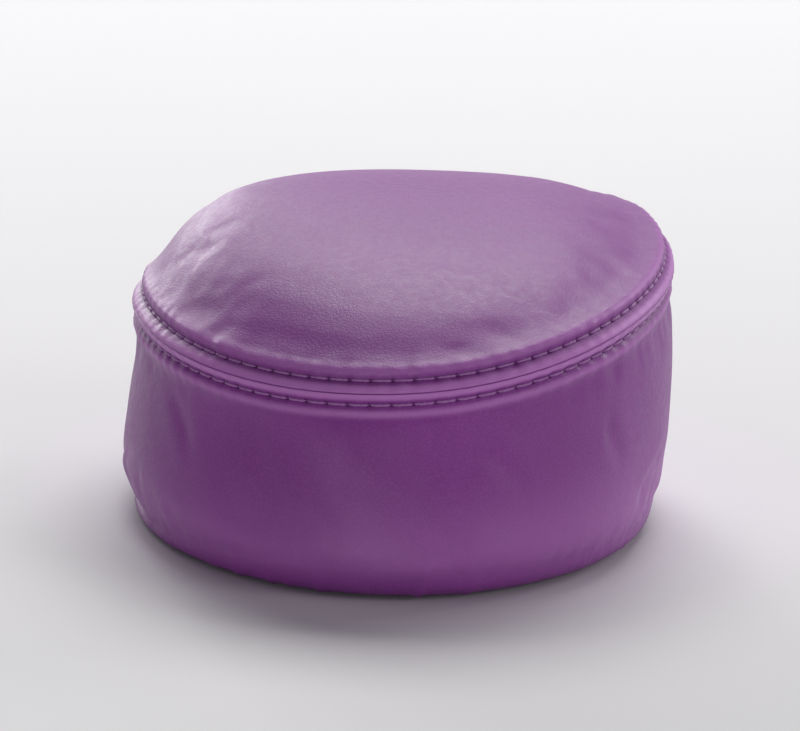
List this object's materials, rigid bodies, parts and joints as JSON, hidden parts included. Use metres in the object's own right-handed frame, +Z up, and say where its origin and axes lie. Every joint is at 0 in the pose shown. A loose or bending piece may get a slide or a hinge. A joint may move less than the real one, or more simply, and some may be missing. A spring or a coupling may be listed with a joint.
{
  "type": "bolster pillow",
  "caption": "Short oval drum cushion with a domed top and a double-topstitched seam, which plugs the face hole of a massage table or lies loose on it.",
  "frame": {"origin": "under the middle of the cushion, on the surface it rests on", "axes": "+Z up through the dome, +Y along the long axis of the oval, +X along its short axis"},
  "size_m": [0.12, 0.176, 0.071],
  "materials": {
    "vinyl": "satin purple artificial leather",
    "wadding": "white polyester wadding",
    "foam": "open-cell upholstery foam",
    "plywood": "raw plywood",
    "nonwoven": "black non-woven cloth",
    "staple_wire": "galvanised wire",
    "thread": "bonded polyester thread",
    "tape": "woven seam tape"
  },
  "bodies": {
    "root": {"top_panel": "vinyl", "side_band": "vinyl", "crown_wadding": "wadding", "foam_core": "foam", "base_board": "plywood", "dust_cover": "nonwoven", "band_staples": "staple_wire", "dust_cover_staples": "staple_wire", "joining_thread": "thread", "upper_topstitches": "thread", "lower_topstitches": "thread", "seam_tape": "tape", "band_join_thread": "thread"}
  },
  "joints": []
}
